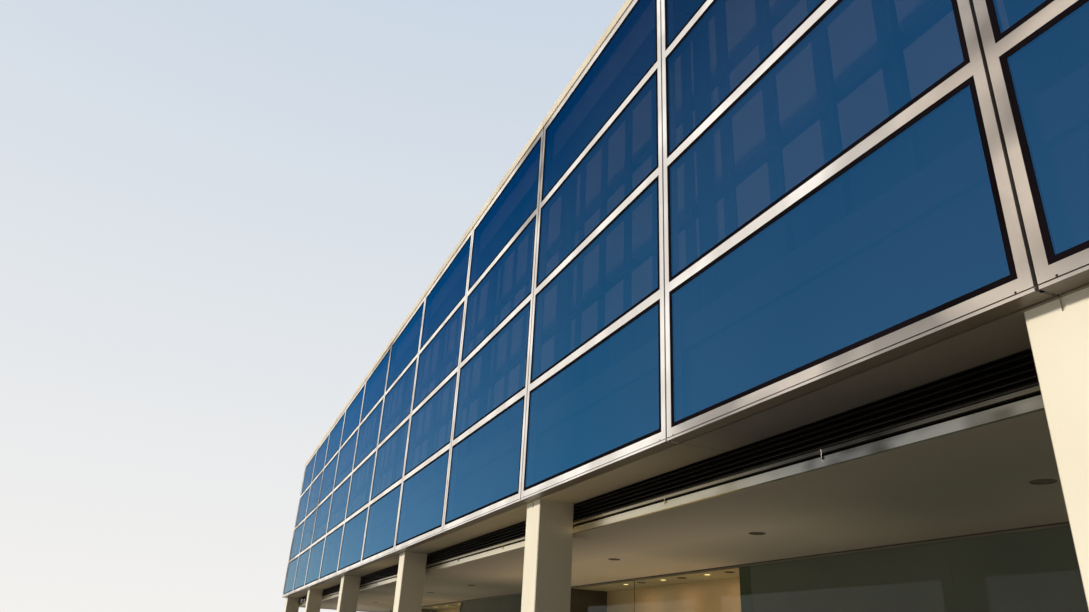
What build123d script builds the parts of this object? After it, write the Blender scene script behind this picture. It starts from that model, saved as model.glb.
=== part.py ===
"""Shopping center: a glazed upper storey of prefabricated curtain-wall units over a colonnaded arcade.

Millimetres, +Z up. The origin is at ground level under the middle of the plan. X runs along the length, and
the front faces -Y. Each side is drawn once in a frame of its own (x along the facade from its middle, y
inwards from the face of the units, z up) and is then set in its place.
"""
from build123d import *
import os

# Plan: curtain-wall units, and the bays of two units that stand on one pair of columns
module = 3000.0
units_per_bay = 2
bays_long = 6
bays_deep = 3

# Heights above the ground
ground_slab_height = 100.0
frame_bottom = 3200.0
upper_floor_rise = 968.0
upper_floor_thickness = 250.0
parapet_height = 330.0
roof_thickness = 220.0

# Curtain-wall unit
unit_joint = 20.0
frame_depth = 110.0
stile = 61.0
bottom_rail = 86.0
transom = 82.0
top_rail = 100.0
pane_rows = 4
pane_height = 1118.0
lip_depth = 20.0
lip_width = 15.0
glass_thickness = 28.0
glass_clearance = 3.0
groove_rise = 16.0
groove_height = 7.0
groove_depth = 10.0

# Coping and parapet
coping_overhang = 15.0
coping_height = 105.0
coping_fall = 20.0
drip_depth = 12.0
parapet_thickness = 150.0

# Columns and edge beams
column_width = 370.0
column_depth = 400.0
corner_column_width = 450.0
column_chamfer = 8.0
column_notch_width = 24.0
column_notch_height = 60.0
column_notch_depth = 12.0
inner_column_width = 370.0

# Soffit, louvre band and arcade ceiling
soffit_gap = 20.0
soffit_lip = 20.0
soffit_thickness = 30.0
louvre_height = 190.0
louvre_blades = 5
blade_depth = 34.0
blade_thickness = 4.0
blade_rise = 26.0
upper_trim_height = 32.0
upper_trim_nose = 8.0
trim_gap = 20.0
lower_trim_height = 68.0
lower_trim_lip = 44.0
lower_trim_step = 10.0
trim_depth = 30.0
trim_overlap = 10.0
ceiling_thickness = 25.0

# Shopfront
arcade_width = 2800.0
shop_glass_thickness = 12.0
shop_pane_offset = 550.0
shop_joint = 10.0
shop_rail_depth = 50.0
sill_height = 50.0
head_height = 30.0
glass_bite = 15.0
entrance_width = 3000.0
panes_per_shop = 2

# Display walls behind the clear glass of a shop
display_depth = 900.0
display_side_gap = 220.0
display_wall_thickness = 60.0
display_wall_joint = 2.0

# Wall behind the curtain wall of the upper storey
inner_wall_gap = 20.0
inner_wall_thickness = 100.0

# Sizes that follow from these
units_long = units_per_bay * bays_long
units_deep = units_per_bay * bays_deep
bay = units_per_bay * module
column_setback = frame_depth + soffit_gap + soffit_lip
column_back = column_setback + column_depth
corner_run = column_setback + column_width / 2
length = units_long * module + 2 * corner_run
depth = units_deep * module + 2 * corner_run
frame_height = bottom_rail + pane_rows * pane_height + (pane_rows - 1) * transom + top_rail
frame_top = frame_bottom + frame_height
upper_floor_top = frame_bottom + upper_floor_rise
upper_floor_bottom = upper_floor_top - upper_floor_thickness
roof_top = frame_top - parapet_height
roof_bottom = roof_top - roof_thickness
soffit_top = frame_bottom + soffit_thickness
louvre_bottom = frame_bottom - louvre_height
upper_trim_bottom = louvre_bottom - upper_trim_height
lower_trim_top = upper_trim_bottom - trim_gap
ceiling_level = lower_trim_top - lower_trim_height
trim_face = column_back - trim_overlap
trim_back = trim_face + trim_depth
corner_stile = frame_depth + lip_width
inner_wall_setback = column_back + inner_wall_gap
shopfront_setback = column_back + arcade_width
shop_glass_back = shopfront_setback + shop_glass_thickness
shop_rail_overhang = (shop_rail_depth - shop_glass_thickness) / 2

side_places = {
    "front": (Location((0, -depth / 2, 0)), units_long),
    "back": (Location((0, depth / 2, 0), (0, 0, 180)), units_long),
    "right": (Location((length / 2, 0, 0), (0, 0, 90)), units_deep),
    "left": (Location((-length / 2, 0, 0), (0, 0, -90)), units_deep),
}
corner_places = [
    Location((length / 2, -depth / 2, 0), (0, 0, 0)),
    Location((length / 2, depth / 2, 0), (0, 0, 90)),
    Location((-length / 2, depth / 2, 0), (0, 0, 180)),
    Location((-length / 2, -depth / 2, 0), (0, 0, 270)),
]


def block(x_span, y_span, z_span):
    """A square-edged piece between two values on each axis."""
    sizes = [high - low for low, high in (x_span, y_span, z_span)]
    middles = [(low + high) / 2 for low, high in (x_span, y_span, z_span)]
    return Pos(*middles) * Box(*sizes)


def half_span(half):
    return (-half, half)


def side_length(units):
    return units * module + 2 * corner_run


def is_long(units):
    return units == units_long


def placed(pieces, place):
    return [piece.moved(place) for piece in pieces]


def save(node, pieces):
    export_step(Compound(children=pieces) if len(pieces) > 1 else pieces[0], f"parts/{node}.step")


# Curtain-wall units

def pane_rises():
    """Heights of the middles of the pane openings above the foot of a unit."""
    pitch = pane_height + transom
    return [bottom_rail + pane_height / 2 + row * pitch for row in range(pane_rows)]


def framed_layer(x_span, opening_span, growth, y_span):
    """One layer of a unit's frame: a plate with the row of openings cut through it."""
    plate = block(x_span, y_span, (frame_bottom, frame_top))
    for rise in pane_rises():
        middle = frame_bottom + rise
        reach = pane_height / 2 + growth
        x_cut = (opening_span[0] - growth, opening_span[1] + growth)
        plate -= block(x_cut, y_span, (middle - reach, middle + reach))
    return plate


def frame_leg(x_span, opening_span):
    """Face lip in front, wider glazing rebate behind it, and the drip groove along the foot."""
    lip = framed_layer(x_span, opening_span, 0, (0, lip_depth))
    rebate = framed_layer(x_span, opening_span, lip_width, (lip_depth, frame_depth))
    groove_foot = frame_bottom + groove_rise
    groove = block(x_span, (0, groove_depth), (groove_foot, groove_foot + groove_height))
    return lip + rebate - groove


def leg_panes(opening_span):
    """Panes that bear on the back of the lip, with a clearance all round inside the rebate."""
    growth = lip_width - glass_clearance
    x_span = (opening_span[0] - growth, opening_span[1] + growth)
    panes = []
    for rise in pane_rises():
        middle = frame_bottom + rise
        reach = pane_height / 2 + growth
        y_span = (lip_depth, lip_depth + glass_thickness)
        panes.append(block(x_span, y_span, (middle - reach, middle + reach)))
    return panes


def unit_spans():
    half = (module - unit_joint) / 2
    return half_span(half), half_span(half - stile)


def unit_centres(units):
    return [(number - (units - 1) / 2) * module for number in range(units)]


def curtain_frames(units):
    frame = frame_leg(*unit_spans())
    return [frame.moved(Location((x, 0, 0))) for x in unit_centres(units)]


def curtain_panes(units):
    panes = leg_panes(unit_spans()[1])
    return [pane.moved(Location((x, 0, 0))) for x in unit_centres(units) for pane in panes]


def corner_spans():
    outer = -corner_run + unit_joint / 2
    return (outer, 0), (outer + stile, -corner_stile)


def turned_leg(piece):
    """A corner unit's second leg: the first one mirrored about the diagonal of the corner."""
    return piece.mirror(Plane(origin=(0, 0, 0), z_dir=(1, 1, 0)))


def corner_frame():
    leg = frame_leg(*corner_spans())
    return leg + turned_leg(leg)


def corner_panes():
    panes = leg_panes(corner_spans()[1])
    return panes + [turned_leg(pane) for pane in panes]


# Coping, parapet, soffit and beams

def mitred(piece, half, reach):
    """Trims both ends of a run at 45 degrees, from half at the face of the units inwards."""
    longer = half + reach
    shorter = half - reach
    outline = Polyline((-longer, -reach), (longer, -reach), (shorter, reach), (-shorter, reach), close=True)
    keep = extrude(make_face(outline), amount=2 * frame_top)
    return piece & keep


def coping(units):
    """Pressed cap: it falls inwards, and laps over the units and the parapet with a drip on each edge."""
    front = -coping_overhang
    back = frame_depth + parapet_thickness + coping_overhang
    drip = coping_overhang / 2
    section = Polyline(
        (front, frame_top - drip_depth),
        (front, frame_top + coping_height),
        (back, frame_top + coping_height - coping_fall),
        (back, frame_top - drip_depth),
        (back - drip, frame_top - drip_depth),
        (back - drip, frame_top),
        (front + drip, frame_top),
        (front + drip, frame_top - drip_depth),
        close=True,
    )
    half = side_length(units) / 2
    run = half + coping_overhang
    bar = extrude(Plane.YZ * make_face(section), amount=run, both=True)
    return mitred(bar, half, back)


def ring_piece(units, outer, inner, z_span):
    """One side of a rectangular ring between two setbacks: the long sides run past the short ones."""
    half = side_length(units) / 2 - (outer if is_long(units) else inner)
    return block(half_span(half), (outer, inner), z_span)


def soffit(units, column_pieces):
    """Panels behind the shadow gap, level with the foot of the units and notched round the columns."""
    z_span = (frame_bottom, soffit_top)
    panel = ring_piece(units, frame_depth + soffit_gap, column_back, z_span)
    for column in column_pieces:
        panel -= column
    return panel


# Columns

def column(width, thickness, top):
    """A column on its own axis, with chamfered arrises."""
    section = chamfer(Rectangle(width, thickness).vertices(), column_chamfer)
    return Pos(0, 0, ground_slab_height) * extrude(section, amount=top - ground_slab_height)


def notched_column():
    """The face of each column has a short slot at its head, where the soffit's panels meet."""
    post = Pos(0, column_setback + column_depth / 2, 0) * column(column_width, column_depth, soffit_top)
    slot_y = (column_setback, column_setback + column_notch_depth)
    slot_z = (frame_bottom - column_notch_height, frame_bottom)
    return post - block(half_span(column_notch_width / 2), slot_y, slot_z)


def side_columns(units):
    """Columns on every joint between two bays, without the corners."""
    post = notched_column()
    bays = units // units_per_bay
    return [post.moved(Location(((number - bays / 2) * bay, 0, 0))) for number in range(1, bays)]


def corner_columns():
    """Square columns that reach past the ends of the trims of both their sides."""
    post = column(corner_column_width, corner_column_width, soffit_top)
    inset = column_setback + corner_column_width / 2
    x_places = half_span(length / 2 - inset)
    y_places = half_span(depth / 2 - inset)
    return [post.moved(Location((x, y, 0))) for x in x_places for y in y_places]


def inner_columns():
    """Columns of the same grid inside the hall, up to the upper floor."""
    post = column(inner_column_width, inner_column_width, upper_floor_bottom)
    return [
        post.moved(Location(((i - bays_long / 2) * bay, (j - bays_deep / 2) * bay, 0)))
        for i in range(1, bays_long)
        for j in range(1, bays_deep)
    ]


# Louvre band

def bay_spans(units):
    """Clear spans between neighbouring columns, corner columns included."""
    bays = units // units_per_bay
    end = side_length(units) / 2 - column_setback - corner_column_width
    middles = [(number - bays / 2) * bay for number in range(1, bays)]
    lows = [-end] + [middle + column_width / 2 for middle in middles]
    highs = [middle - column_width / 2 for middle in middles] + [end]
    return list(zip(lows, highs))


def blade_section(foot):
    """A thin slat that leans outwards and down."""
    rise = blade_rise
    return Polyline(
        (trim_face, foot),
        (trim_face + blade_depth, foot + rise),
        (trim_face + blade_depth, foot + rise + blade_thickness),
        (trim_face, foot + blade_thickness),
        close=True,
    )


def louvre_slats(units):
    pitch = louvre_height / louvre_blades
    slats = []
    for low, high in bay_spans(units):
        for number in range(louvre_blades):
            face = Plane.YZ.offset(low) * make_face(blade_section(louvre_bottom + number * pitch))
            slats.append(extrude(face, amount=high - low))
    return slats


def trims(units, section):
    """One length of trim in every bay, drawn out from its section."""
    face = make_face(section)
    return [extrude(Plane.YZ.offset(low) * face, amount=high - low) for low, high in bay_spans(units)]


def upper_trim_section():
    """A strip whose upper front edge is bevelled to a narrow nose."""
    return Polyline(
        (trim_face, upper_trim_bottom),
        (trim_face, louvre_bottom - upper_trim_nose),
        (trim_face + upper_trim_nose, louvre_bottom),
        (trim_back, louvre_bottom),
        (trim_back, upper_trim_bottom),
        close=True,
    )


def lower_trim_section():
    """The edge of the ceiling: a lip in front, and above it a web that stands a step further back."""
    lip_top = ceiling_level + lower_trim_lip
    return Polyline(
        (trim_face, ceiling_level),
        (trim_face, lip_top),
        (trim_face + lower_trim_step, lip_top),
        (trim_face + lower_trim_step, lower_trim_top),
        (trim_back, lower_trim_top),
        (trim_back, ceiling_level),
        close=True,
    )


# Shopfront

def inner_shop_half(units):
    """Half the length of a short side's shopfront, which stops a joint short of the long sides' channels."""
    return side_length(units) / 2 - shop_glass_back - shop_rail_overhang - shop_joint


def shop_spans(units):
    """Spans of the panes along one side, a module apart, with butt joints between them."""
    half = side_length(units) / 2 - shopfront_setback
    if is_long(units):
        middle_joint = bay * bays_long / 2 - bay - shop_pane_offset
        count = int((middle_joint + half) // module)
        first = middle_joint - count * module
        joints = [first + n * module for n in range(int((half - first) // module) + 1)]
        edges = [-half] + joints + [half]
        return [(a + shop_joint / 2, b - shop_joint / 2) for a, b in zip(edges, edges[1:])]
    inner = inner_shop_half(units)
    door = entrance_width / 2
    return [(-inner, -door), (door, inner)]


def shop_panes(units):
    z_span = (ground_slab_height + sill_height - glass_bite, ceiling_level - head_height + glass_bite)
    return [block(span, (shopfront_setback, shop_glass_back), z_span) for span in shop_spans(units)]


def shop_channel(span, z_span, groove_foot):
    """A glazing channel: a bar with a groove for the edge of the glass."""
    y_span = (shopfront_setback - shop_rail_overhang, shop_glass_back + shop_rail_overhang)
    groove = (groove_foot, groove_foot + glass_bite)
    return block(span, y_span, z_span) - block(span, (shopfront_setback, shop_glass_back), groove)


def channel_spans(units):
    """The long sides' channels run to the corners, and the short sides' stop between them."""
    half = side_length(units) / 2 - shopfront_setback if is_long(units) else inner_shop_half(units)
    return [half_span(half)]


def door_spans(units):
    """Sill spans: broken at the entrance in a short side."""
    spans = channel_spans(units)
    if is_long(units):
        return spans
    low, high = spans[0]
    return [(low, -entrance_width / 2), (entrance_width / 2, high)]


def shop_sills(units):
    top = ground_slab_height + sill_height
    return [shop_channel(span, (ground_slab_height, top), top - glass_bite) for span in door_spans(units)]


def shop_heads(units):
    low = ceiling_level - head_height
    return [shop_channel(span, (low, ceiling_level), low) for span in channel_spans(units)]


def is_dark_shop(pane_number):
    """Every second shop along a long side has dark glass, from the one-pane shop at its left end on."""
    return (pane_number + 1) // panes_per_shop % 2 == 0


def display_boards(low, high):
    """A back and two ends round the display behind a shop's glass, which is open towards the arcade."""
    back = shop_glass_back + display_depth
    end_y = (shop_glass_back + shop_rail_overhang, back - display_wall_joint)
    z_span = (ground_slab_height, ceiling_level)
    x_span = (low + display_side_gap, high - display_side_gap)
    back_board = block(x_span, (back, back + display_wall_thickness), z_span)
    low_end = block((x_span[0], x_span[0] + display_wall_thickness), end_y, z_span)
    high_end = block((x_span[1] - display_wall_thickness, x_span[1]), end_y, z_span)
    return [back_board, low_end, high_end]


def display_walls(units):
    """The boards of one display for each whole shop with clear glass on a long side."""
    spans = shop_spans(units)
    starts = range(panes_per_shop - 1, len(spans) - panes_per_shop, 2 * panes_per_shop)
    boards = []
    for start in starts:
        boards += display_boards(spans[start][0], spans[start + panes_per_shop - 1][1])
    return boards


# Floors, ceiling and roof

def plate(setback, z_span):
    return block(half_span(length / 2 - setback), half_span(depth / 2 - setback), z_span)


def ceiling(standing):
    board = plate(trim_back, (ceiling_level, ceiling_level + ceiling_thickness))
    for piece in standing:
        board -= piece
    return board


def build():
    os.makedirs("parts", exist_ok=True)
    all_side_columns = []
    all_slats = []
    upper_trims = []
    lower_trims = []
    clear_panes = []
    dark_panes = []
    sills = []
    heads = []
    displays = []
    corners = corner_columns()
    for side, (place, units) in side_places.items():
        save(f"{side}_frames", placed(curtain_frames(units), place))
        save(f"{side}_glass", placed(curtain_panes(units), place))
        save(f"{side}_coping", placed([coping(units)], place))
        parapet_z = (roof_top, frame_top)
        parapet = ring_piece(units, frame_depth, frame_depth + parapet_thickness, parapet_z)
        save(f"{side}_parapet", placed([parapet], place))
        beam_z = (soffit_top, upper_floor_bottom)
        save(f"{side}_beam", placed([ring_piece(units, column_setback, column_back, beam_z)], place))
        wall_back = inner_wall_setback + inner_wall_thickness
        wall = ring_piece(units, inner_wall_setback, wall_back, (upper_floor_top, roof_bottom))
        save(f"{side}_inner_wall", placed([wall], place))
        columns = side_columns(units)
        local_corners = [post.moved(place.inverse()) for post in corners]
        save(f"{side}_soffit", placed([soffit(units, columns + local_corners)], place))
        all_side_columns += placed(columns, place)
        all_slats += placed(louvre_slats(units), place)
        upper_trims += placed(trims(units, upper_trim_section()), place)
        lower_trims += placed(trims(units, lower_trim_section()), place)
        for number, pane in enumerate(placed(shop_panes(units), place)):
            dark = is_long(units) and is_dark_shop(number)
            (dark_panes if dark else clear_panes).append(pane)
        sills += placed(shop_sills(units), place)
        heads += placed(shop_heads(units), place)
        if is_long(units):
            displays += placed(display_walls(units), place)
    save("corner_frames", [corner_frame().moved(place) for place in corner_places])
    save("corner_glass", [pane.moved(place) for place in corner_places for pane in corner_panes()])
    save("side_columns", all_side_columns)
    save("corner_columns", corners)
    middle_columns = inner_columns()
    save("inner_columns", middle_columns)
    save("louvre_slats", all_slats)
    save("upper_trims", upper_trims)
    save("lower_trims", lower_trims)
    save("clear_shop_panes", clear_panes)
    save("dark_shop_panes", dark_panes)
    save("shop_sills", sills)
    save("shop_heads", heads)
    save("display_walls", displays)
    save("ceiling", [ceiling(corners + middle_columns)])
    save("ground_slab", [plate(column_setback, (0, ground_slab_height))])
    save("upper_floor", [plate(frame_depth, (upper_floor_bottom, upper_floor_top))])
    save("roof_slab", [plate(frame_depth, (roof_bottom, roof_top))])


build()
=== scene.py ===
# %% [markdown]
# # A shopping center: glazed storey over an arcade
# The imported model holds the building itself: frames, panes, columns, slabs. This script dresses it. It
# sets up the camera, the light and the finishes, and adds what is too fine for the model: the outer
# sheets of the panes with their gaskets, joint seals, the boards and posts behind the glass, the lights,
# the clips and the screws. Loading the model comes first, because every later piece is placed from its
# sizes.

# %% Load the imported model
import math
import bmesh
import bpy
from mathutils import Matrix, Vector


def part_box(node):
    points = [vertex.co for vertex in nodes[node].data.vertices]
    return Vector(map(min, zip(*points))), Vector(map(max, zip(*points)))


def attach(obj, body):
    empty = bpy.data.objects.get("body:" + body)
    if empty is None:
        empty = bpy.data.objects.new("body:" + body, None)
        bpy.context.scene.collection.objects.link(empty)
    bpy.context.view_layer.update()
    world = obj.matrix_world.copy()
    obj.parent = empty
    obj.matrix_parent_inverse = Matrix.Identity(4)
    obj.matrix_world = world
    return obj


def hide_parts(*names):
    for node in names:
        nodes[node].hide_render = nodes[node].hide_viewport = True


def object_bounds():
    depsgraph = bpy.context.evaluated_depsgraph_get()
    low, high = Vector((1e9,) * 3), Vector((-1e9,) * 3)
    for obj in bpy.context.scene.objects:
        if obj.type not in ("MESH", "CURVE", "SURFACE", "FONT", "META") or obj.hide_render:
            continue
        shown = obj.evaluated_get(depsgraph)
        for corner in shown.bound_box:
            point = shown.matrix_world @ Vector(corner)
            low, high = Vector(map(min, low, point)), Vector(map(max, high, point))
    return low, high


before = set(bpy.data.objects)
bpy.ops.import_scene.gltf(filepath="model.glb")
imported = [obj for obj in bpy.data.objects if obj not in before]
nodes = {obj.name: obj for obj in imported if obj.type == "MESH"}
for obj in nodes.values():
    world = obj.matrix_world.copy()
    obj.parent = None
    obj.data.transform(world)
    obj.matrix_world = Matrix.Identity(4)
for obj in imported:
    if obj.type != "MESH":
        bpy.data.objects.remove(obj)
cad_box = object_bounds()
print(len(nodes), "nodes, overall box:", [[round(value, 3) for value in corner] for corner in cad_box])

# %% [markdown]
# ## Helpers for objects, nodes and colours
# Materials and Geometry Nodes are both trees of nodes. One function makes an object that is part of the
# scene. The next adds a node, sets its options, and either fills a socket with a value or links another
# node's output to it. A third turns the usual hex colours, which are sRGB, into the linear values that
# shaders work in. The rest are short names for steps that come back all the time: arithmetic, one axis of
# a vector, a new range for a value, and a mix of two colours.

# %% Node and colour helpers
def new_object(name, data):
    """Makes an object that is part of the scene."""
    made = bpy.data.objects.new(name, data)
    bpy.context.scene.collection.objects.link(made)
    return made


def add(tree, kind, inputs=None, **settings):
    new = tree.nodes.new(kind)
    for name, value in settings.items():
        setattr(new, name, value)
    for name, value in (inputs or {}).items():
        if isinstance(value, bpy.types.NodeSocket):
            tree.links.new(value, new.inputs[name])
        else:
            new.inputs[name].default_value = value
    return new


def linear(code):
    channels = [int(code[start:start + 2], 16) / 255 for start in (1, 3, 5)]
    curve = [value / 12.92 if value <= 0.04045 else ((value + 0.055) / 1.055) ** 2.4 for value in channels]
    return (*curve, 1.0)


def maths(tree, operation, first, second=0.0):
    return add(tree, "ShaderNodeMath", {0: first, 1: second}, operation=operation).outputs[0]


def along(tree, vector, axis):
    return add(tree, "ShaderNodeSeparateXYZ", {"Vector": vector}).outputs[axis]


def ranged(tree, value, low, high, start=0.3, end=0.7):
    """Spreads a value between start and end, here the middle of a noise, over low to high."""
    inputs = {"Value": value, "From Min": start, "From Max": end, "To Min": low, "To Max": high}
    return add(tree, "ShaderNodeMapRange", inputs).outputs["Result"]


def blend(tree, amount, first, second):
    """Mixes two colours, each a hex code or a socket, by amount."""
    sides = [linear(side) if isinstance(side, str) else side for side in (first, second)]
    inputs = {"Factor": amount, "A": sides[0], "B": sides[1]}
    return add(tree, "ShaderNodeMix", inputs, data_type="RGBA").outputs["Result"]


# %% [markdown]
# ## The camera
# The photograph was taken from the pavement, from eye height, with the camera tilted up at the facade.
# Its place was worked out from the corners of the curtain-wall units, which all lie in one plane at known
# sizes. A camera looks down its own -Z, so it is turned up from there, then swung left, then rolled by
# the few degrees that the photographer held it askew.

# %% Camera
EYE = (13.9696, -12.3466, 1.6825)
SWING, TILT, ROLL = (math.radians(angle) for angle in (68.347, 24.126, 3.197))
PHOTO_WIDTH = 1089
FOCAL_PIXELS = 782.74
SENSOR = 36.0

camera = new_object("camera", bpy.data.cameras.new("camera"))
camera.data.sensor_width = SENSOR
camera.data.lens = FOCAL_PIXELS / PHOTO_WIDTH * SENSOR
camera.data.clip_end = 1000.0
turned_up = Matrix.Rotation(math.pi / 2 + TILT, 4, "X") @ Matrix.Rotation(ROLL, 4, "Z")
camera.matrix_world = Matrix.Translation(EYE) @ Matrix.Rotation(SWING, 4, "Z") @ turned_up
bpy.context.scene.camera = camera
bpy.context.scene.view_settings.view_transform = "Standard"
print("lens", round(camera.data.lens, 2), "mm")

# %% [markdown]
# ## Floor, backdrop and light
# The building stands on a plain pale floor in a plain pale surround, as in a studio. The surround is a
# world shader with two faces: rays from the camera, mirrors and glass see a calm pale backdrop, a little
# bluer towards the top, and all other rays get an even soft light. The floor does the same with a little
# glow of its own, so that it looks pale and still takes a shadow. A low, slightly warm sun straight in
# front gives the shapes their light and shade side, as on the real facade.

# %% World and sun
SOFT_LIGHT = 0.29
BACKDROP_RISE = 0.8
TOWARDS_SUN = Vector((-0.03, -0.95, 0.29))
SUN_STRENGTH = 2.75
SUN_WIDTH = math.radians(6)

world = bpy.data.worlds.new("studio")
bpy.context.scene.world = world
world.use_nodes = True
sky = world.node_tree
sky.nodes.clear()
height = along(sky, add(sky, "ShaderNodeTexCoord").outputs["Generated"], "Z")
backdrop = blend(sky, ranged(sky, height, 0, 1, 0.0, BACKDROP_RISE), "#f4f2ef", "#c6d4e4")
seen = add(sky, "ShaderNodeBackground", {"Color": backdrop, "Strength": 1.0}).outputs[0]
lighting = add(sky, "ShaderNodeBackground", {"Color": linear("#f3efe8"), "Strength": SOFT_LIGHT}).outputs[0]


def direct_view(tree):
    """1 for rays that come from the camera, a mirror or glass, and 0 for rays that only gather light."""
    path = add(tree, "ShaderNodeLightPath").outputs
    mirrored = maths(tree, "MAXIMUM", path["Is Glossy Ray"], path["Is Transmission Ray"])
    return maths(tree, "MAXIMUM", path["Is Camera Ray"], mirrored)


surround = add(sky, "ShaderNodeMixShader", {0: direct_view(sky), 1: lighting, 2: seen}).outputs[0]
add(sky, "ShaderNodeOutputWorld", {"Surface": surround})

sun = new_object("low_sun", bpy.data.lights.new("low_sun", "SUN"))
sun.data.energy = SUN_STRENGTH
sun.data.angle = SUN_WIDTH
sun.data.color = linear("#fff1dd")[:3]
sun.rotation_euler = TOWARDS_SUN.to_track_quat("Z", "Y").to_euler()
print("sun stands", round(math.degrees(math.asin(TOWARDS_SUN.normalized().z))), "degrees high")

# %% Floor
FLOOR_HALF = 400.0
FLOOR_GLOW = 0.30
corners = [(x * FLOOR_HALF, y * FLOOR_HALF, 0) for x, y in ((-1, -1), (1, -1), (1, 1), (-1, 1))]
floor_mesh = bpy.data.meshes.new("studio_floor")
floor_mesh.from_pydata(corners, [], [(0, 1, 2, 3)])
floor = new_object("studio_floor", floor_mesh)
floor_paint = bpy.data.materials.new("matt pale floor paint")
floor_paint.use_nodes = True
floor_tree = floor_paint.node_tree
floor_shader = floor_tree.nodes["Principled BSDF"]
floor_shader.inputs["Base Color"].default_value = linear("#d8d5cf")
floor_shader.inputs["Emission Color"].default_value = linear("#f4f1ec")
floor_shader.inputs["Roughness"].default_value = 0.9
glow = maths(floor_tree, "MULTIPLY", direct_view(floor_tree), FLOOR_GLOW)
floor_tree.links.new(glow, floor_shader.inputs["Emission Strength"])
floor_mesh.materials.append(floor_paint)
print("floor", 2 * FLOOR_HALF, "m wide")

# %% [markdown]
# ## What the finishes have in common
# Every finish starts from the Principled shader and reads Object coordinates. All objects sit at the
# origin, so these are simply metres on the building, and a pattern keeps its real scale. Noise gives slow
# changes of tone, a mask of straight lines gives panel joints, and Bump turns a pattern into relief. The
# facade's units are three metres wide, and so are the panels of most other surfaces.

# %% Finish helpers
UNIT = 3.0
SIDES = ("front", "back", "right", "left")
SEAM_REACH = {"X": 17.5, "Y": 8.5}


def finish(name, roughness, metallic=0.0):
    material = bpy.data.materials.new(name)
    material.use_nodes = True
    tree = material.node_tree
    shader = tree.nodes["Principled BSDF"]
    shader.inputs["Roughness"].default_value = roughness
    shader.inputs["Metallic"].default_value = metallic
    place = add(tree, "ShaderNodeTexCoord").outputs["Object"]
    return material, tree, shader, place


def grain(tree, place, size_mm, stretch=(1, 1, 1), detail=3.0, seed=(0, 0, 0)):
    """Noise with features of about size_mm, drawn out along an axis where stretch is above 1."""
    scale = [1 / value for value in stretch]
    turned = add(tree, "ShaderNodeMapping", {"Vector": place, "Location": seed, "Scale": scale}).outputs[0]
    inputs = {"Vector": turned, "Scale": 1000 / size_mm, "Detail": detail}
    return add(tree, "ShaderNodeTexNoise", inputs).outputs["Fac"]


def mottle(tree, place, size_mm, first, second, span=(0.3, 0.7), **noise):
    """Slow changes of tone between two colours. The noise passes from one to the other within its span."""
    return blend(tree, ranged(tree, grain(tree, place, size_mm, **noise), 0, 1, *span), first, second)


def lines(tree, place, axis, pitch, width):
    """1 on lines of this width across an axis, every pitch metres, and 0 between them."""
    turn = maths(tree, "FLOORED_MODULO", maths(tree, "ADD", along(tree, place, axis), pitch / 2), pitch)
    away = maths(tree, "ABSOLUTE", maths(tree, "SUBTRACT", turn, pitch / 2))
    return maths(tree, "LESS_THAN", away, width / 2)


def within(tree, place, axis, reach):
    """1 where the place along an axis is less than reach from the middle of the building."""
    return maths(tree, "LESS_THAN", maths(tree, "ABSOLUTE", along(tree, place, axis)), reach)


def seams(tree, place, pitch, width):
    """Lines across both directions of the plan, without those that would run along the building's edges."""
    found = 0.0
    for axis, reach in SEAM_REACH.items():
        inside = within(tree, place, axis, reach)
        crossing = maths(tree, "MULTIPLY", lines(tree, place, axis, pitch, width), inside)
        found = maths(tree, "MAXIMUM", found, crossing)
    return found


def facing(tree, axis):
    """How far a face looks along an axis, from -1 to 1."""
    return along(tree, add(tree, "ShaderNodeNewGeometry").outputs["True Normal"], axis)


def paint(tree, shader, colour):
    tree.links.new(colour, shader.inputs["Base Color"])


def bump(tree, shader, height, depth_mm, strength=1.0):
    inputs = {"Height": height, "Distance": depth_mm / 1000, "Strength": strength}
    tree.links.new(add(tree, "ShaderNodeBump", inputs).outputs[0], shader.inputs["Normal"])


def coat(names, material):
    """Gives CAD nodes a finish in place of the plain one they came with."""
    for name in names:
        for held in nodes[name].material_slots:
            held.material = material
    print(material.name, "on", ", ".join(names))


# %% [markdown]
# ## Silver anodised aluminium: the frames of the units
# The units are pressed and extruded aluminium, anodised without dye. Anodising leaves a metal with a
# slightly milky skin, so it is half a mirror and half a matt surface, and highlights are soft. A very
# large noise paints sun and shade into the tone: dull grey on some frames, as painted shade, and near
# white on others, as painted sunlight. The sheet is never quite flat: patches as long as a forearm make a
# slight relief, and the same patches paint soft highlights into the colour. Rain leaves slightly darker
# runs, and the faces that look down are painted dark brown, as painted shade.

# %% Anodised aluminium
METAL_SHARE = 0.42
anodised, tree, shader, place = finish("silver anodised aluminium", 0.38, METAL_SHARE)
patches = grain(tree, place, 520, (1.4, 1.4, 1), 1.0)
brushing = grain(tree, place, 6, (1, 1, 4), 2.0)
runs = grain(tree, place, 120, (1, 1, 9), 3.0, (7, 3, 1))
# Painted shade: the faces that look down are painted dark brown and made less metallic.
below = maths(tree, "LESS_THAN", facing(tree, "Z"), -0.5)
# A very large noise paints shade into some frames and sunlit brightness into others.
painted_sun_and_shade = ranged(tree, grain(tree, place, 3600, detail=0.0, seed=(26, 43, 85)), 0, 1, 0.285, 0.43)
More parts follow.
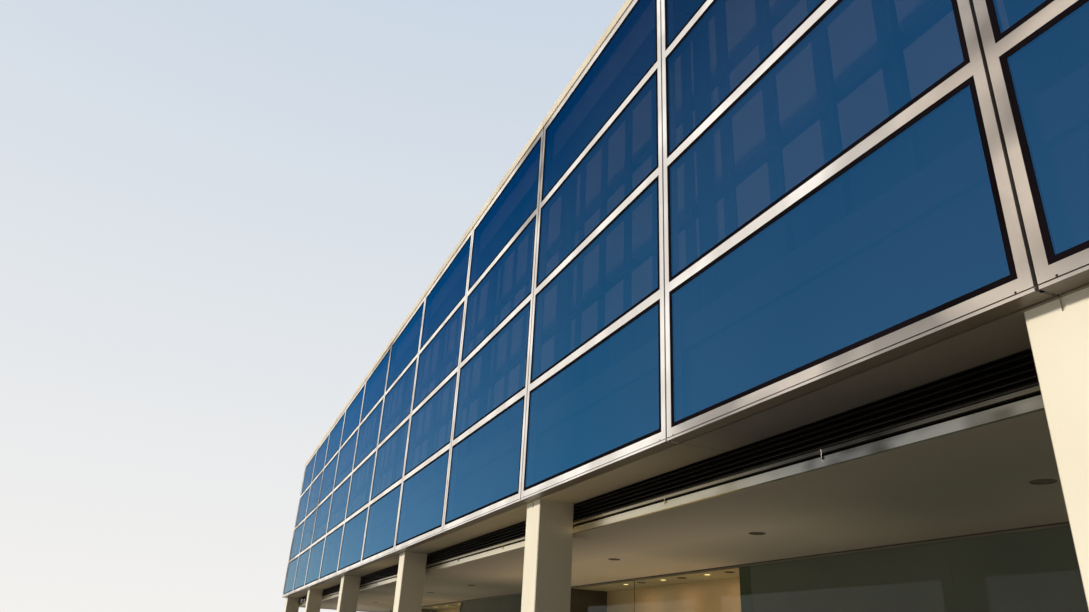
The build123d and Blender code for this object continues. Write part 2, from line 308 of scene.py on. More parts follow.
# The patches that make the relief also paint soft highlights into the tone.
painted_highlight_patches = ranged(tree, patches, 0, 1, 0.41, 0.59)
shaded_frame_tone = blend(tree, painted_highlight_patches, "#77726f", "#b9b0a8")
sunlit_frame_tone = blend(tree, painted_highlight_patches, "#e3e1e0", "#fefefe")
tone = blend(tree, ranged(tree, runs, 0, 0.12), blend(tree, painted_sun_and_shade, shaded_frame_tone, sunlit_frame_tone), "#979391")
paint(tree, shader, blend(tree, below, tone, "#5a4e42"))
metal = maths(tree, "MULTIPLY", maths(tree, "SUBTRACT", 1.0, below), METAL_SHARE)
tree.links.new(metal, shader.inputs["Metallic"])
tree.links.new(ranged(tree, brushing, 0.34, 0.42), shader.inputs["Roughness"])
bump(tree, shader, maths(tree, "ADD", patches, maths(tree, "MULTIPLY", brushing, 0.02)), 5)
coat([f"{side}_frames" for side in SIDES] + ["corner_frames"], anodised)

# %% [markdown]
# ## Blue mirror glass: the panes of the upper storey
# This is body-tinted glass with a thin metal coating: it mirrors the sky in its own blue and lets a
# little light through, so the boards behind it show faintly. A metallic shader with a blue base mirrors
# in that blue, and Alpha lets part of what is behind it through. Plain metal turns white at a flat angle
# and this coating doesn't: the Specular Tint holds it back, and two ramps over the angle, one for the
# foot of the facade and one for its top, set the colour at each angle. That colour is painted
# reflection: each ramp holds what the panes mirror at each angle, and the foot is lighter than the top
# because it mirrors the lighter sky low down. The Specular Tint, which also changes with height, carries
# the same painted reflection. Rolled glass waves very slightly.

# %% Mirror glass
# Painted reflection: each ramp holds what the panes mirror at each angle, lighter at the foot.
RAMP_ANGLES = (0.40, 0.60, 0.72, 0.80, 0.87, 0.91)
FOOT_BLUES = ("#366b96", "#517ca6", "#8198be", "#a5b3d8", "#c5cbe1", "#cfcccc")
TOP_BLUES = ("#1d4b76", "#5a5c68", "#857e83", "#b69c9c", "#dfc0cd", "#d6cccc")
FOOT_HEIGHT, TOP_HEIGHT = 3.3, 7.8

mirror_glass, tree, shader, place = finish("blue coated mirror glass", 0.03, 1.0)
shader.inputs["Alpha"].default_value = 0.60
angle = add(tree, "ShaderNodeLayerWeight", {"Blend": 0.5}).outputs["Facing"]
up_facade = ranged(tree, along(tree, place, "Z"), 0, 1, FOOT_HEIGHT, TOP_HEIGHT)
blues = []
for codes in (FOOT_BLUES, TOP_BLUES):
    ramp = add(tree, "ShaderNodeValToRGB", {"Fac": angle})
    marks = ramp.color_ramp.elements
    while len(marks) < len(codes):
        marks.new(1.0)
    for mark, position, code in zip(marks, RAMP_ANGLES, codes):
        mark.position = position
        mark.color = linear(code)
    blues.append(ramp.outputs["Color"])
paint(tree, shader, blend(tree, up_facade, *blues))
# The Specular Tint by height carries the same painted reflection.
tree.links.new(blend(tree, up_facade, "#88bfda", "#2f88cb"), shader.inputs["Specular Tint"])
bump(tree, shader, grain(tree, place, 900, (1, 1, 2), 0.0), 2)
coat([f"{side}_glass" for side in SIDES] + ["corner_glass"], mirror_glass)

# %% [markdown]
# ## Coated and anodised metal
# The coping is aluminium sheet with a cream powder coat, in lengths of one unit that meet in a dark
# sealed joint. The louvres are black powder coat. The two trims under them are bright satin aluminium,
# anodised a pale champagne and nearly all mirror. Their colour is painted reflection: a slow noise passes
# from a streaked dark tone, for the dark soffit that they mirror near by, to a light one, for the bright
# street that they mirror far off.

# %% Coping, louvres and trims
# A slow noise that paints reflection on the trims and shade on the soffit.
SLOW_PAINTED_LIGHT_NOISE = {"detail": 1.0, "seed": (42, 46, 26)}

coping_paint, tree, shader, place = finish("cream powder coat", 0.42)
joints = seams(tree, place, UNIT, 0.010)
tone = mottle(tree, place, 500, "#cfc6b2", "#eae3d0", stretch=(1, 1, 3))
paint(tree, shader, blend(tree, joints, tone, "#4a443c"))
bump(tree, shader, maths(tree, "SUBTRACT", grain(tree, place, 2, detail=1.0), joints), 0.6)
coat([f"{side}_coping" for side in SIDES], coping_paint)

louvre_black, tree, shader, place = finish("black powder coat", 0.42)
shader.inputs["Specular IOR Level"].default_value = 0.3
paint(tree, shader, mottle(tree, place, 300, "#0f0d0a", "#1b1712", stretch=(4, 4, 1)))
bump(tree, shader, grain(tree, place, 3, detail=1.0), 0.2)
coat(["louvre_slats"], louvre_black)


def champagne(name, dark, light):
    """Satin aluminium whose colour is painted reflection, passing from a streaked dark tone to a light one.
    """
    material, tree, shader, place = finish(name, 0.24, 1.0)
    noise = {"stretch": (1.5, 1.5, 1), "detail": 2.0, "seed": (3, 8, 1)}
    streaked = mottle(tree, place, 330, "#292825", dark, (0.40, 0.60), **noise)
    # The slow noise passes from the painted dark reflection to the painted light one.
    paint(tree, shader, mottle(tree, place, 3500, streaked, light, (0.25, 0.62), **SLOW_PAINTED_LIGHT_NOISE))
    bump(tree, shader, grain(tree, place, 400, (3, 3, 1), 1.0), 2)
    return material


pale_champagne = champagne("champagne anodised aluminium", "#8a8984", "#f0e3c2")
dark_champagne = champagne("dark champagne anodised aluminium", "#504e48", "#cdbf9d")
coat(["lower_trims"], pale_champagne)
coat(["upper_trims"], dark_champagne)

# %% [markdown]
# ## Mineral surfaces
# The columns are concrete under ivory masonry paint. Their faces that look along the outline of the
# plan or inwards are painted a darker grey-brown, as painted shade. The ceiling is smooth plaster with
# painted light and shade: a very slow noise makes it grey in some places and warm cream in others, and
# it is painted darker towards the street. The soffit behind the units is a row of coated fibre-cement
# panels with a joint at every unit; a slow noise paints shade on it, darker at some units and lighter
# beige at others. Slabs and beams are concrete, whose boards and air holes show as blotches and pits.
# The roof is a grey membrane laid in strips a metre wide.

# %% Columns, ceiling and soffit
OUTLINE_REACH = {"X": 17.9, "Y": 8.9}
# Share of painted shade on the side and inner faces.
SIDE_SHADE_SHARE = 0.75


# Painted shade: the faces this marks are painted a darker grey-brown.
def painted_side_shade(tree, place):
    """1 on upright faces that look along the outline or inwards, and 0 on those on the outline."""
    masks = []
    for axis, reach in OUTLINE_REACH.items():
        turned = maths(tree, "ABSOLUTE", facing(tree, axis))
        masks.append(maths(tree, "MULTIPLY", turned, within(tree, place, axis, reach)))
    return maths(tree, "MAXIMUM", *masks)


def from_facade(tree, place):
    """How far a place is behind the nearest facade, in metres."""
    depths = []
    for axis, edge in (("X", cad_box[1][0]), ("Y", cad_box[1][1])):
        depths.append(maths(tree, "SUBTRACT", edge, maths(tree, "ABSOLUTE", along(tree, place, axis))))
    return maths(tree, "MINIMUM", *depths)


column_paint, tree, shader, place = finish("ivory masonry paint", 0.62)
outline_face_tone = mottle(tree, place, 700, "#e4e2d2", "#efede1", stretch=(1, 1, 2))
# Painted shade: side and inner faces are mixed towards grey-brown.
tone = blend(tree, maths(tree, "MULTIPLY", painted_side_shade(tree, place), SIDE_SHADE_SHARE), outline_face_tone, "#9c927c")
splash = ranged(tree, along(tree, place, "Z"), 0.45, 0.0, 0.1, 0.7)
dirt = maths(tree, "MULTIPLY", splash, ranged(tree, grain(tree, place, 160), 0.3, 1))
paint(tree, shader, blend(tree, dirt, tone, "#8d8370"))
bump(tree, shader, grain(tree, place, 9, detail=4.0), 0.9)
coat(["side_columns", "corner_columns", "inner_columns"], column_paint)

plaster, tree, shader, place = finish("painted ceiling plaster", 0.72)
# A very slow noise paints grey shade in some places and warm light in others.
tone = mottle(tree, place, 5200, "#74776a", "#fef0dc", (0.195, 0.61), detail=1.0, seed=(29, 17, 26))
# Painted shade: darker towards the street.
painted_edge_shade = ranged(tree, from_facade(tree, place), 0.6, 0.0, 0.7, 1.8)
paint(tree, shader, blend(tree, painted_edge_shade, tone, "#55514a"))
bump(tree, shader, grain(tree, place, 600, detail=1.0), 4)
coat(["ceiling"], plaster)

soffit_board, tree, shader, place = finish("beige fibre-cement panel", 0.6)
# The slow noise paints shade: darker at some units, lighter beige at others.
tone = mottle(tree, place, 3500, "#5a5650", "#b0a385", (0.25, 0.66), **SLOW_PAINTED_LIGHT_NOISE)
paint(tree, shader, blend(tree, seams(tree, place, UNIT, 0.008), tone, "#2b2820"))
bump(tree, shader, grain(tree, place, 4, detail=2.0), 0.3)
coat([f"{side}_soffit" for side in SIDES], soffit_board)

# %% Concrete, roof and inner wall
concrete, tree, shader, place = finish("bare grey concrete", 0.8)
tone = mottle(tree, place, 800, "#8c8983", "#a5a29b", detail=5.0)
paint(tree, shader, blend(tree, seams(tree, place, UNIT, 0.012), tone, "#5c5a55"))
bump(tree, shader, grain(tree, place, 12, detail=5.0), 1.0)
coat(["ground_slab"], concrete)

sealed_concrete, tree, shader, place = finish("dark sealed concrete", 0.8)
paint(tree, shader, mottle(tree, place, 800, "#5b5955", "#67655f", detail=5.0))
bump(tree, shader, grain(tree, place, 12, detail=5.0), 1.0)
coat([f"{side}_beam" for side in SIDES] + ["upper_floor"], sealed_concrete)

membrane, tree, shader, place = finish("grey roof membrane", 0.66)
laps = lines(tree, place, "X", 1.0, 0.012)
tone = mottle(tree, place, 2200, "#85878a", "#a3a5a6", detail=4.0)
paint(tree, shader, blend(tree, laps, tone, "#63656a"))
bump(tree, shader, maths(tree, "SUBTRACT", grain(tree, place, 25, detail=3.0), laps), 1.2)
coat([f"{side}_parapet" for side in SIDES] + ["roof_slab"], membrane)

wall_lining, tree, shader, place = finish("dark blue-grey wall lining", 0.8)
paint(tree, shader, mottle(tree, place, 700, "#2c2f38", "#3a3d47"))
bump(tree, shader, grain(tree, place, 15, detail=2.0), 0.4)
coat([f"{side}_inner_wall" for side in SIDES], wall_lining)

# %% [markdown]
# ## Shop glass and its channels
# The clear panes are plain toughened glass. Seen flat on they are clear, and at a flat angle they mirror,
# which the Fresnel node works out from the index of refraction. The mirror part and the see-through part
# are two shaders mixed by it, because thin glass hardly bends what is behind it. The dark panes are
# coloured grey-green on their back, so they look like a polished sheet that only hints at the shop
# behind. The panes stand in a dark bronze channel in the floor and a painted one at the head, whose top
# is painted black as a painted shadow gap.

# %% Clear and dark shop glass
clear_glass, tree, shader, place = finish("clear toughened glass", 0.02)
tree.nodes.remove(shader)
fronts = maths(tree, "SUBTRACT", 1.0, add(tree, "ShaderNodeNewGeometry").outputs["Backfacing"])
mirrored = add(tree, "ShaderNodeFresnel", {"IOR": 1.45}).outputs[0]
share = maths(tree, "MULTIPLY", mirrored, maths(tree, "MULTIPLY", fronts, 0.5))
through = add(tree, "ShaderNodeBsdfTransparent", {"Color": linear("#eaf0ea")}).outputs[0]
gloss = add(tree, "ShaderNodeBsdfGlossy", {"Color": linear("#e9efec"), "Roughness": 0.02}).outputs[0]
thin_sheet = add(tree, "ShaderNodeMixShader", {0: share, 1: through, 2: gloss}).outputs[0]
tree.links.new(thin_sheet, tree.nodes["Material Output"].inputs["Surface"])
coat(["clear_shop_panes"], clear_glass)

dark_glass, tree, shader, place = finish("grey-green back-painted glass", 0.03)
shader.inputs["Alpha"].default_value = 0.93
shader.inputs["IOR"].default_value = 1.5
shader.inputs["Specular IOR Level"].default_value = 0.15
paint(tree, shader, mottle(tree, place, 1800, "#626a5f", "#72796e"))
coat(["dark_shop_panes"], dark_glass)

# %% Channels of the shop front
# Painted shadow: a black band along the top of the head channel stands for the shadow gap above it.
HEAD_SHADOW_GAP = 0.012
bronze, tree, shader, place = finish("dark bronze anodised channel", 0.4, 0.8)
paint(tree, shader, mottle(tree, place, 200, "#1d1814", "#2c2620", stretch=(5, 5, 1)))
bump(tree, shader, grain(tree, place, 4), 0.2)
coat(["shop_sills"], bronze)

head_paint, tree, shader, place = finish("grey-green coated channel", 0.5)
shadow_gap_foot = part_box("shop_heads")[1].z - HEAD_SHADOW_GAP
# Painted shadow gap along the top of the channel.
painted_shadow_gap = maths(tree, "GREATER_THAN", along(tree, place, "Z"), shadow_gap_foot)
paint(tree, shader, blend(tree, painted_shadow_gap, mottle(tree, place, 400, "#676150", "#736c59"), "#15120c"))
bump(tree, shader, grain(tree, place, 4), 0.2)
coat(["shop_heads"], head_paint)

# %% [markdown]
# ## Display walls
# Behind the clear panes stand the walls of the shop window: a warm beige back and near end, and a dark
# brown far end. All are laminated board, so one finish serves: the direction that a face looks in and its
# place in the shop, which repeats every twelve metres, pick its colour.

# %% Display boards
DISPLAY_PITCH = 12.0
display_board, tree, shader, place = finish("warm laminate board", 0.5)
sideways = maths(tree, "GREATER_THAN", maths(tree, "ABSOLUTE", facing(tree, "X")), 0.5)
far_end = lines(tree, place, "X", DISPLAY_PITCH, DISPLAY_PITCH / 2)
tone = mottle(tree, place, 900, "#fdcfa2", "#ffdeb6")
paint(tree, shader, blend(tree, maths(tree, "MULTIPLY", sideways, far_end), tone, "#4a3a2c"))
bump(tree, shader, grain(tree, place, 30, detail=2.0), 0.1)
coat(["display_walls"], display_board)

# %% [markdown]
# ## A tree that repeats a shape over a facade
# A facade is one shape repeated on a grid: so many across, so many up. The shape is made once, in mesh
# code, and this Geometry Nodes tree copies it. It lays out a grid of points, stands the grid
# upright, puts the shape on every point, makes the copies real, and then turns the row to face front,
# back, right or left.

# %% Grid-of-copies tree
copies = bpy.data.node_groups.new("copies over a facade", "GeometryNodeTree")
copies.interface.new_socket("Geometry", in_out="OUTPUT", socket_type="NodeSocketGeometry")
COPY_INPUTS = {
    "Shape": "Object", "Columns": "Int", "Rows": "Int", "Column pitch": "Float", "Row pitch": "Float",
    "Centre": "Vector", "Turn": "Float", "Place": "Vector", "Finish": "Material",
}
for label, kind in COPY_INPUTS.items():
    copies.interface.new_socket(label, in_out="INPUT", socket_type="NodeSocket" + kind)
given = add(copies, "NodeGroupInput").outputs
wide = maths(copies, "MULTIPLY", maths(copies, "SUBTRACT", given["Columns"], 1.0), given["Column pitch"])
tall = maths(copies, "MULTIPLY", maths(copies, "SUBTRACT", given["Rows"], 1.0), given["Row pitch"])
grid = {"Size X": wide, "Size Y": tall, "Vertices X": given["Columns"], "Vertices Y": given["Rows"]}
points = add(copies, "GeometryNodeMeshGrid", grid).outputs["Mesh"]
standing = {"Geometry": points, "Rotation": (math.pi / 2, 0, 0)}
upright = add(copies, "GeometryNodeTransform", standing).outputs[0]
shape = add(copies, "GeometryNodeObjectInfo", {"Object": given["Shape"]}).outputs["Geometry"]
repeated = add(copies, "GeometryNodeInstanceOnPoints", {"Points": upright, "Instance": shape}).outputs[0]
solid = add(copies, "GeometryNodeRealizeInstances", {"Geometry": repeated}).outputs[0]
centring = {"Geometry": solid, "Translation": given["Centre"]}
centred = add(copies, "GeometryNodeTransform", centring).outputs[0]
turning = add(copies, "ShaderNodeCombineXYZ", {"Z": given["Turn"]}).outputs[0]
placing = {"Geometry": centred, "Translation": given["Place"], "Rotation": turning}
placed = add(copies, "GeometryNodeTransform", placing).outputs[0]
coated = {"Geometry": placed, "Material": given["Finish"]}
finished = add(copies, "GeometryNodeSetMaterial", coated).outputs[0]
add(copies, "NodeGroupOutput", {"Geometry": finished})
print(len(copies.nodes), "nodes in the tree of copies")

# %% [markdown]
# ## Where the sides stand
# Everything on a facade is described once, in a frame of its own: x along it from its middle, y inwards
# from the face of the units, z up. Each side then has a number of units, a turn and a place. The places
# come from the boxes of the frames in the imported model.

# %% Sides and sizes
JOINT = 0.020
STILE = 0.061
PANE_HEIGHT = 1.118
PANE_PITCH = 1.200
PANE_ROWS = 4
UNITS = {"front": 12, "back": 12, "right": 6, "left": 6}

half_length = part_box("right_frames")[1].x
half_depth = -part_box("front_frames")[0].y
frame_foot, frame_top = (corner.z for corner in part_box("front_frames"))
glass_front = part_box("front_glass")[0].y + half_depth
pane_middle = sum(corner.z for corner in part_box("front_glass")) / 2
ceiling_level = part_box("ceiling")[0].z
side_places = {
    "front": (0.0, (0, -half_depth, 0)),
    "back": (math.pi, (0, half_depth, 0)),
    "right": (math.pi / 2, (half_length, 0, 0)),
    "left": (-math.pi / 2, (-half_length, 0, 0)),
}
print("facades at", round(half_length, 3), "and", round(half_depth, 3), "m from the middle")
print("packed glass", round(glass_front * 1000, 1), "mm behind the face")

# %% [markdown]
# ## Running the tree
# A modifier runs the tree on an empty object. Its inputs are set by their identifiers, the result is
# copied out as a plain mesh, and the modifier goes, so that what is left is an ordinary piece at the
# origin. The pattern shape is made by a small mesh function and removed at the end.

# %% Shapes, and rows of them
patterns = []


def shape_object(name, build):
    """Makes a mesh with a bmesh function, with its normals outwards."""
    mesh = bpy.data.meshes.new(name)
    work = bmesh.new()
    build(work)
    bmesh.ops.recalc_face_normals(work, faces=work.faces)
    work.to_mesh(mesh)
    work.free()
    patterns.append(bpy.data.objects.new(name, mesh))
    return patterns[-1]


def blocks(name, soften, *spans):
    """One mesh of boxes, each given by its spans in x, y and z, with edges bevelled by soften metres."""
    def build(work):
        for box in spans:
            sizes = [high - low for low, high in box]
            middle = [(low + high) / 2 for low, high in box]
            stand = Matrix.Translation(middle) @ Matrix.Diagonal((*sizes, 1))
            bmesh.ops.create_cube(work, size=1.0, matrix=stand)
        bmesh.ops.bevel(work, geom=work.edges[:], offset=soften, segments=2, affect="EDGES", profile=0.5)
    return shape_object(name, build)


def centred_on_zero(width):
    return (-width / 2, width / 2)


def join_rings(work, rings, closed):
    """Faces between each ring of points and the next, and from the last back to the first if closed."""
    following = rings[1:] + rings[:1] if closed else rings[1:]
    for ring, other in zip(rings, following):
        for step in range(len(ring)):
            after = (step + 1) % len(ring)
            work.faces.new((ring[step], ring[after], other[after], other[step]))


def row(name, side, shape, finish_material, slot, columns, pitch, centre=(0, 0, 0), rows=1, rise=0.0):
    """Copies a shape along one side of the building, and makes the result a piece that rides with it."""
    turn, spot = side_places[side]
    holder = new_object(name, bpy.data.meshes.new(name))
    modifier = holder.modifiers.new(name, "NODES")
    modifier.node_group = copies
    sockets = {item.name: item.identifier for item in copies.interface.items_tree if item.in_out == "INPUT"}
    values = {"Shape": shape, "Columns": columns, "Rows": rows, "Column pitch": pitch, "Row pitch": rise}
    values.update({"Centre": centre, "Turn": turn, "Place": spot, "Finish": finish_material})
    for label, value in values.items():
        modifier[sockets[label]] = value
    mesh = bpy.data.meshes.new_from_object(holder.evaluated_get(bpy.context.evaluated_depsgraph_get()))
    holder.modifiers.remove(modifier)
    mesh.materials.clear()
    mesh.materials.append(finish_material)
    for face in mesh.polygons:
        face.material_index = 0
    mesh.name = name
    holder.data = mesh
    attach(holder, "root")
    print(name, columns * rows, "copies,", len(mesh.polygons), "faces")
    return holder


# %% [markdown]
# ## Panes and their gaskets
# A sealed unit has two sheets of glass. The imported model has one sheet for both, at the back of the
# rebate, but the sheet that mirrors the sky is the outer one, nearly flush with the frame. So the outer
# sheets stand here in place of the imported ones. A black rubber gasket holds each in its frame: from below
# it is the dark line, two fingers wide, that outlines every pane. It is one moulded ring with mitred
# corners, made in mesh code from four corners and a short profile. The tree sets sheets and rings in all
# openings.

# %% Outer sheets and gaskets
GASKET_BAND = 0.034
GASKET_FRONT = 0.001
SHEET_FRONT, SHEET_BACK = 0.004, 0.012
SHEET_TUCK = 0.004
CORNER_STILE = 0.125
BLUE_SLOT, BLACK_SLOT = "blue_mirror_glass", "black_louvre_metal"

rubber, tree, shader, place = finish("black EPDM rubber", 0.5)
shader.inputs["Specular IOR Level"].default_value = 0.0
paint(tree, shader, mottle(tree, place, 250, "#110e12", "#19151a", stretch=(1, 1, 3)))
bump(tree, shader, grain(tree, place, 3, detail=1.0), 0.2)


def gasket_ring(width, height):
    """A ring inside an opening: its profile runs in along the face, slopes to the sheet and goes back."""
    lip = GASKET_BAND - SHEET_TUCK / 2
    profile = [(0, GASKET_FRONT), (lip, GASKET_FRONT), (GASKET_BAND, SHEET_FRONT),
               (GASKET_BAND, glass_front), (0, glass_front)]

    def build(work):
        rings = []
        for inset, depth in profile:
            x, z = width / 2 - inset, height / 2 - inset
            spots = ((-x, depth, -z), (x, depth, -z), (x, depth, z), (-x, depth, z))
            rings.append([work.verts.new(spot) for spot in spots])
        join_rings(work, rings, closed=True)

    return shape_object("gasket_ring", build)


def outer_sheet(width, height):
    """A sheet whose edges are tucked just under the gasket."""
    across, up = [centred_on_zero(size - 2 * (GASKET_BAND - SHEET_TUCK)) for size in (width, height)]
    return blocks("outer_sheet", 0.0005, (across, (SHEET_FRONT, SHEET_BACK), up))


corner_run = half_length - 6 * UNIT
corner_pane_width = corner_run - JOINT / 2 - STILE - CORNER_STILE
unit_pane_width = UNIT - JOINT - 2 * STILE
unit_sheet = outer_sheet(unit_pane_width, PANE_HEIGHT)
corner_sheet = outer_sheet(corner_pane_width, PANE_HEIGHT)
unit_gasket = gasket_ring(unit_pane_width, PANE_HEIGHT)
corner_gasket = gasket_ring(corner_pane_width, PANE_HEIGHT)
rows_up = {"centre": (0, 0, pane_middle), "rows": PANE_ROWS, "rise": PANE_PITCH}
for side, units in UNITS.items():
    apart = 2 * (units * UNIT / 2 + corner_run - CORNER_STILE - corner_pane_width / 2)
    sheets = row(f"{side}_outer_panes", side, unit_sheet, mirror_glass, BLUE_SLOT, units, UNIT, **rows_up)
    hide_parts(f"{side}_glass")
    row(f"{side}_gaskets", side, unit_gasket, rubber, BLACK_SLOT, units, UNIT, **rows_up)
    row(f"{side}_corner_gaskets", side, corner_gasket, rubber, BLACK_SLOT, 2, apart, **rows_up)
    corner_name = f"{side}_outer_corner_panes"
    corner_sheets = row(corner_name, side, corner_sheet, mirror_glass, BLUE_SLOT, 2, apart, **rows_up)
    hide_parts("corner_glass")

# %% [markdown]
# ## Seals and screws of the units
# Each unit is hung on the building a finger's width from its neighbours, and a dark seal closes the joint
# a little behind the face. Seen at an angle it is a crisp black line from the foot to the coping. A small
# countersunk screw at each end of a unit's foot holds it to its bracket, and shows as a dark dot.

# %% Joint seals and foot screws
SEAL_DEPTH = (0.030, 0.042)
SCREW_RISE = 0.028
SCREW_INSET = 0.085
SCREW_RADIUS = 0.006
SCREW_DEPTH = 0.002
SCREW_SINK = 0.0006
screw_x = (UNIT - JOINT) / 2 - SCREW_INSET


def screw_heads(work):
    """Two flat heads, sunk in the face of the foot rail near its ends."""
    disc = {"radius1": SCREW_RADIUS, "radius2": SCREW_RADIUS, "depth": SCREW_DEPTH}
    for x in (-screw_x, screw_x):
        spot = Matrix.Translation((x, SCREW_SINK, frame_foot + SCREW_RISE))
        flat = spot @ Matrix.Rotation(math.pi / 2, 4, "X")
        bmesh.ops.create_cone(work, segments=16, cap_ends=True, matrix=flat, **disc)


seal = blocks("seal", 0.002, (centred_on_zero(JOINT), SEAL_DEPTH, (frame_foot, frame_top)))
screws = shape_object("screws", screw_heads)
for side, units in UNITS.items():
    row(f"{side}_joint_seals", side, seal, rubber, BLACK_SLOT, units + 1, UNIT)
    row(f"{side}_foot_screws", side, screws, bronze, "bronze_channel", units, UNIT)

# %% [markdown]
# ## Boards and posts behind the glass
# Half a metre behind the mirror glass the wall is faced with pale upright boards, five to a unit, in
# three rows, with dark gaps between them and a thin batten in each gap. A dark post stands behind every
# joint between two units. They show through the glass as a faint grid. All are plain boxes, set out by
# the same tree.

# %% Inner boards, battens and posts
BOARDS_PER_UNIT = 5
BOARD_PITCH = 0.600
BOARD_WIDTH = 0.420
BOARD_THICKNESS = 0.103
BOARD_ROWS = ((4.90, 5.35), (5.51, 6.55), (6.71, 7.50))
BATTEN_WIDTH = 0.036
BATTEN_SETBACK = 0.03
POST_WIDTH = 0.200
POST_DEPTH = (-0.05, -0.002)

pale_board, tree, shader, place = finish("pinkish grey coated board", 0.6)
paint(tree, shader, mottle(tree, place, 500, "#cbbcb6", "#dccdc6"))
bump(tree, shader, grain(tree, place, 20), 0.3)

stud, tree, shader, place = finish("brown-grey stud metal", 0.55)
paint(tree, shader, mottle(tree, place, 300, "#2e282c", "#3d353a"))
bump(tree, shader, grain(tree, place, 20), 0.3)

inner_low, inner_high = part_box("front_inner_wall")
wall_depth = inner_low.y + half_depth
board_face = wall_depth - BOARD_THICKNESS
storey = (inner_low.z, inner_high.z)
board_span = centred_on_zero(BOARD_WIDTH)
board = blocks("board", 0.002, *[(board_span, (board_face, wall_depth), rise) for rise in BOARD_ROWS])
batten_depth = (board_face + BATTEN_SETBACK, wall_depth)
batten = blocks("batten", 0.002, (centred_on_zero(BATTEN_WIDTH), batten_depth, storey))
post_depth = [board_face + offset for offset in POST_DEPTH]
joint_post = blocks("joint_post", 0.004, (centred_on_zero(POST_WIDTH), post_depth, storey))
for side, units in UNITS.items():
    boards = units * BOARDS_PER_UNIT - 1
    row(f"{side}_wall_boards", side, board, pale_board, "pink_grey_wall_board", boards, BOARD_PITCH)
    row(f"{side}_wall_battens", side, batten, stud, BLACK_SLOT, boards - 1, BOARD_PITCH)
    row(f"{side}_joint_posts", side, joint_post, stud, BLACK_SLOT, units - 1, UNIT)

# %% [markdown]
# ## Clips on the trims
# The trims come in three lengths to a bay, and a small plate bridges each splice. It grips both trims, so
# it also spans the dark gap between them.

# %% Trim clips
CLIP_PLACES = (-0.93, 1.02)
CLIP_HALF_WIDTH = 0.005
trim_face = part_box("upper_trims")[0].y + half_depth
trim_foot, trim_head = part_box("lower_trims")[0].z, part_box("upper_trims")[1].z
clip_depth = (trim_face - 0.003, trim_face + 0.012)
clip_height = (trim_foot + 0.036, trim_head - 0.004)
clip_spans = [(x - CLIP_HALF_WIDTH, x + CLIP_HALF_WIDTH) for x in CLIP_PLACES]
clips = blocks("clips", 0.001, *[(span, clip_depth, clip_height) for span in clip_spans])
for side, units in UNITS.items():
    row(f"{side}_trim_clips", side, clips, dark_champagne, "champagne_trim_aluminium", units // 2, 2 * UNIT)

# %% [markdown]
# ## Seals and strips of the shop panes
# The shop panes meet in butt joints ten millimetres wide, and a silicone seal fills each one, in the
# colour of the glass. A display ends about 0.2 m short of its last joint. The glass is back-painted
# there, in the grey-green of the dark panes, so that nobody looks past the end wall: a thin strip of that
# finish stands just behind the pane.

# %% Shop seals and strips
SHOP_JOINT = 0.010
SHOP_JOINTS = 10
SHOP_JOINTS_MIDDLE = 0.95
DISPLAY_MIDDLE = -3.55
STRIP_REACH = (2.745, 2.995)

silicone, tree, shader, place = finish("grey-green silicone", 0.5)
shader.inputs["Specular IOR Level"].default_value = 0.2
paint(tree, shader, mottle(tree, place, 200, "#5c6156", "#6b6f63"))
bump(tree, shader, grain(tree, place, 4, detail=1.0), 0.2)

shop_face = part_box("dark_shop_panes")[0].y + half_depth
shop_rise = (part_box("shop_sills")[1].z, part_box("shop_heads")[0].z)
shop_seal_depth = (shop_face + 0.001, shop_face + 0.009)
strip_depth = (shop_face + 0.013, shop_face + 0.016)
shop_seal = blocks("shop_seal", 0.001, (centred_on_zero(SHOP_JOINT), shop_seal_depth, shop_rise))
strip = blocks("strip", 0.0005, (STRIP_REACH, strip_depth, shop_rise))
joints_spot = (SHOP_JOINTS_MIDDLE, 0, 0)
display_spot = (DISPLAY_MIDDLE, 0, 0)
for side in ("front", "back"):
    row(f"{side}_shop_seals", side, shop_seal, silicone, "bronze_channel", SHOP_JOINTS, UNIT, joints_spot)
for side in ("front", "back"):
    row(f"{side}_shop_strips", side, strip, dark_glass, "grey_tinted_glass", 2, DISPLAY_PITCH, display_spot)

# %% [markdown]
# ## Lights in the ceilings
# Round lights sit flush in the plaster of the arcade, one to each unit, and were off when the photograph
# was taken, so they are dull grey-brown discs. The short sides have two fewer, because their ends already
# have the long sides' lights. In the shop windows small warm lamps were lit, with a round air vent
# between each two. Each is a turned shape: a rim, a step and a flat lens. Its profile is drawn once, and
# rings of points are joined round the axis.

# %% Ceiling lights and vents
ARCADE_LIGHT_DEPTH = 1.92
ARCADE_LIGHTS = {"front": 12, "back": 12, "right": 4, "left": 4}
WINDOW_LIGHT_DEPTH = 3.755
FITTING_PITCH = 1.233
LAMP_MIDDLE, LAMP_RADIUS = 0.205, 0.042
VENT_MIDDLE, VENT_RADIUS = 0.75, 0.075
PLASTER_SLOT = "ceiling_plaster"


def turned_fitting(work, x, radius, rim, drop):
    """A round fitting seen from below: the rim hangs a few millimetres down and the lens sits inside it."""
    steps = 32
    profile = [(radius, 0.0), (radius, -drop * 0.6), (radius - rim * 0.4, -drop),
               (radius - rim, -drop * 0.7), (radius - rim, -0.001)]
    turns = [2 * math.pi * step / steps for step in range(steps)]
    rings = []
    for reach, z in profile:
        spots = [(x + reach * math.cos(turn), reach * math.sin(turn), z) for turn in turns]
        rings.append([work.verts.new(spot) for spot in spots])
    join_rings(work, rings, closed=False)
    work.faces.new(rings[-1])
    work.faces.new(rings[0])


def row_of_three(work, middle, radius, rim, drop):
    for number in (-1, 0, 1):
        turned_fitting(work, middle + number * FITTING_PITCH, radius, rim, drop)


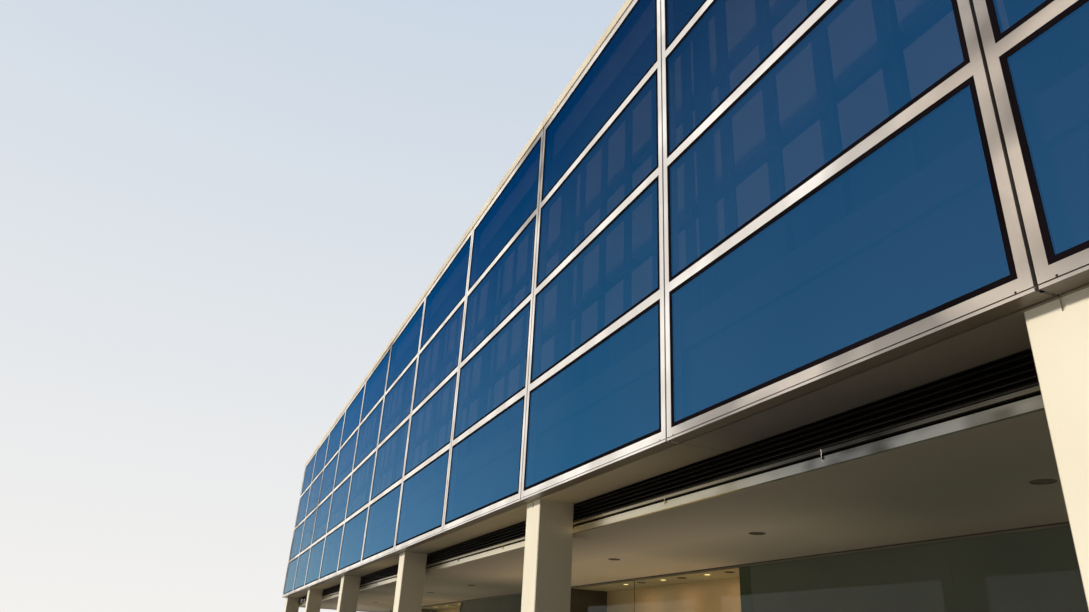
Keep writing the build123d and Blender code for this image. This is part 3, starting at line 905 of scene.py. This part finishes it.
fitting_grey, tree, shader, place = finish("unlit frosted light", 0.5)
paint(tree, shader, mottle(tree, place, 90, "#4a4236", "#5a5144"))
bump(tree, shader, grain(tree, place, 6), 0.2)

warm_lamp, tree, shader, place = finish("lit warm lamp lens", 0.4)
shader.inputs["Base Color"].default_value = linear("#f4e3bd")
shader.inputs["Emission Color"].default_value = linear("#ffe8a2")
shader.inputs["Emission Strength"].default_value = 1.5

arcade_light = shape_object("arcade_light", lambda work: turned_fitting(work, 0.0, 0.080, 0.012, 0.006))
lamps = shape_object("lamps", lambda work: row_of_three(work, LAMP_MIDDLE, LAMP_RADIUS, 0.008, 0.005))
vents = shape_object("vents", lambda work: row_of_three(work, VENT_MIDDLE, VENT_RADIUS, 0.020, 0.008))
arcade_spot = (0, ARCADE_LIGHT_DEPTH, ceiling_level)
window_spot = (DISPLAY_MIDDLE, WINDOW_LIGHT_DEPTH, ceiling_level)
for side, count in ARCADE_LIGHTS.items():
    row(f"{side}_arcade_lights", side, arcade_light, fitting_grey, PLASTER_SLOT, count, UNIT, arcade_spot)
for side in ("front", "back"):
    row(f"{side}_shop_lamps", side, lamps, warm_lamp, PLASTER_SLOT, 2, DISPLAY_PITCH, window_spot)
    row(f"{side}_shop_vents", side, vents, fitting_grey, PLASTER_SLOT, 2, DISPLAY_PITCH, window_spot)

# %% [markdown]
# ## The light of the shop lamps
# A lens that is bright enough to light the display would burn out to white in the picture. So the lenses
# only glow, and a small round light under each one, which the camera doesn't see, throws the warm light
# on the boards.

# %% Lamp light
LAMP_POWER = 1.7
light_level = ceiling_level - 0.012
lamp_light = bpy.data.lights.new("shop_lamp_light", "AREA")
lamp_light.shape = "DISK"
lamp_light.size = 2 * LAMP_RADIUS
lamp_light.energy = LAMP_POWER
lamp_light.color = linear("#ffdcc4")[:3]
lamp_offsets = [LAMP_MIDDLE + number * FITTING_PITCH for number in (-1, 0, 1)]
for side in ("front", "back"):
    turn, spot = side_places[side]
    for display_x in (DISPLAY_MIDDLE - DISPLAY_PITCH / 2, DISPLAY_MIDDLE + DISPLAY_PITCH / 2):
        for offset in lamp_offsets:
            under = Vector((display_x + offset, WINDOW_LIGHT_DEPTH, light_level))
            lit = new_object("shop_lamp_light", lamp_light)
            lit.location = Matrix.Rotation(turn, 3, "Z") @ under + Vector(spot)
            lit.visible_camera = False
print(4 * len(lamp_offsets), "lamp lights at", round(light_level, 3), "m")

# %% [markdown]
# ## Last step
# Shapes that were only patterns for copies are removed. The dressing may not stand out from the
# building.

# %% Remove the patterns
for pattern in patterns:
    bpy.data.objects.remove(pattern)
